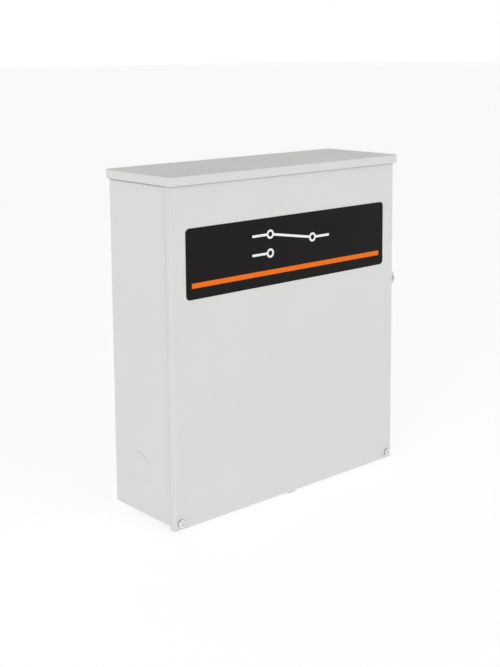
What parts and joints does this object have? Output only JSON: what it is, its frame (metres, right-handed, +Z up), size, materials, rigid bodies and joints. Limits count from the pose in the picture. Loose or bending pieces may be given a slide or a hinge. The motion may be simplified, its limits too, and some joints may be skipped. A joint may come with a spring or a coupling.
{
  "type": "transfer switch",
  "caption": "Wall-mounted double-throw transfer switch in a raintight sheet-steel enclosure with drip cap, hinged-up front cover, knockouts, hand lever and closing coils.",
  "frame": {"origin": "centre of the four-hole wall-mounting pattern, on the plane of the enclosure's back", "axes": "+Z up along the height, +Y into the wall along the depth, front cover faces -Y, +X to the right seen from the front"},
  "size_m": [0.567, 0.184, 0.612],
  "materials": {
    "powder_coat": "light grey fine-texture powder coat",
    "label_black": "satin black label film",
    "label_white": "white print",
    "label_orange": "orange print",
    "card": "coated card",
    "zinc": "zinc plated, satin",
    "galvanised": "galvanised sheet",
    "steel": "machined",
    "dark_steel": "phosphated",
    "aluminium": "extruded, satin",
    "copper": "bare copper, slightly tarnished",
    "silver": "silver contact button, satin",
    "bronze": "sintered bronze",
    "rubber": "matt",
    "foam": "closed-cell foam",
    "moulding_brown": "moulded thermoset",
    "moulding_black": "moulded thermoset",
    "moulding_cream": "fibre-filled moulding",
    "fibre": "vulcanised fibre sheet",
    "nylon": "natural nylon",
    "red_plastic": "moulded, slight gloss",
    "winding": "varnished winding wire",
    "smoke_plastic": "smoke-tinted moulding",
    "glass_tube": "fuse tube",
    "wire_blue": "PVC insulation"
  },
  "bodies": {
    "enclosure": {"padlock_bracket": "powder_coat", "knockouts": "powder_coat", "rain_cap": "powder_coat", "bottom_panel": "powder_coat", "enclosure_body": "powder_coat", "cover_screw_nuts": "zinc", "cover_gasket": "foam", "sub_panel": "galvanised", "panel_studs": "zinc", "panel_nuts": "zinc", "insulating_sheet": "fibre", "mechanism_base": "moulding_brown", "phase_barriers": "moulding_brown", "side_plates": "galvanised", "shaft_bushes": "bronze", "mechanism_screws": "zinc", "utility_contacts": "copper", "standby_contacts": "copper", "load_contacts": "copper", "fixed_contact_tips": "silver", "arc_chutes": "moulding_cream", "arc_plates": "galvanised", "spring_post": "zinc", "solenoid_frames": "galvanised", "solenoid_bobbins": "nylon", "solenoid_windings": "winding", "limit_switches": "moulding_black", "load_terminal_block": "moulding_brown", "power_lugs": "aluminium", "lug_screws": "steel", "neutral_bar": "aluminium", "ground_bar": "aluminium", "relay_socket": "moulding_black", "control_relay": "smoke_plastic", "fuse_block": "moulding_black", "fuses": "glass_tube", "terminal_strip": "moulding_black", "control_wires": "wire_blue"},
    "cover": {"front_cover": "powder_coat", "name_label": "label_black", "label_symbol": "label_white", "label_stripe": "label_orange", "wiring_card": "card"},
    "left_screw": {"left_cover_screw": "zinc", "left_screw_washer": "rubber"},
    "right_screw": {"right_cover_screw": "zinc", "right_screw_washer": "rubber"},
    "rotor": {"rotor_shaft": "steel", "contact_carriers": "moulding_black", "moving_blades": "copper", "moving_contact_tips": "silver", "lever_arm": "dark_steel", "lever_grip": "red_plastic", "crank_fork": "dark_steel"},
    "toggle": {"toggle_spring": "steel"},
    "armature": {"armature_link": "moulding_black", "armature_plungers": "steel", "crank_pin": "steel"},
    "upper_button": {"upper_switch_button": "red_plastic"},
    "lower_button": {"lower_switch_button": "red_plastic"}
  },
  "joints": [
    {"name": "cover_hinge", "type": "hinge", "parent": "enclosure", "child": "cover", "pos_m": [0, -0.178, 0.285], "axis": [-1, 0, 0], "range_deg": [0, 88]},
    {"name": "left_screw_out", "type": "slide", "parent": "cover", "child": "left_screw", "axis": [0, -1, 0], "range_m": [0, 0.012]},
    {"name": "right_screw_out", "type": "slide", "parent": "cover", "child": "right_screw", "axis": [0, -1, 0], "range_m": [0, 0.012]},
    {"name": "rotor_turn", "type": "hinge", "parent": "enclosure", "child": "rotor", "pos_m": [-0.07, -0.082, 0.075], "axis": [1, 0, 0], "range_deg": [0, 40]},
    {"name": "armature_slide", "type": "slide", "parent": "enclosure", "child": "armature", "axis": [0, 0, 1], "range_m": [0, 0.0175]},
    {"name": "toggle_swing", "type": "hinge", "parent": "enclosure", "child": "toggle", "pos_m": [-0.219, -0.082, 0.135], "axis": [1, 0, 0], "range_deg": [0, 6.6]},
    {"name": "upper_button_press", "type": "slide", "parent": "enclosure", "child": "upper_button", "axis": [0, 0, 1], "range_m": [0, 0.0012], "stiffness_N_per_m": 100},
    {"name": "lower_button_press", "type": "slide", "parent": "enclosure", "child": "lower_button", "axis": [0, 0, -1], "range_m": [0, 0.0012], "stiffness_N_per_m": 100}
  ],
  "couplings": [
    {"joint": "armature_slide", "follows": "rotor_turn", "m_per_rad": 0.025025},
    {"joint": "toggle_swing", "follows": "rotor_turn", "ratio": 0.16478}
  ]
}
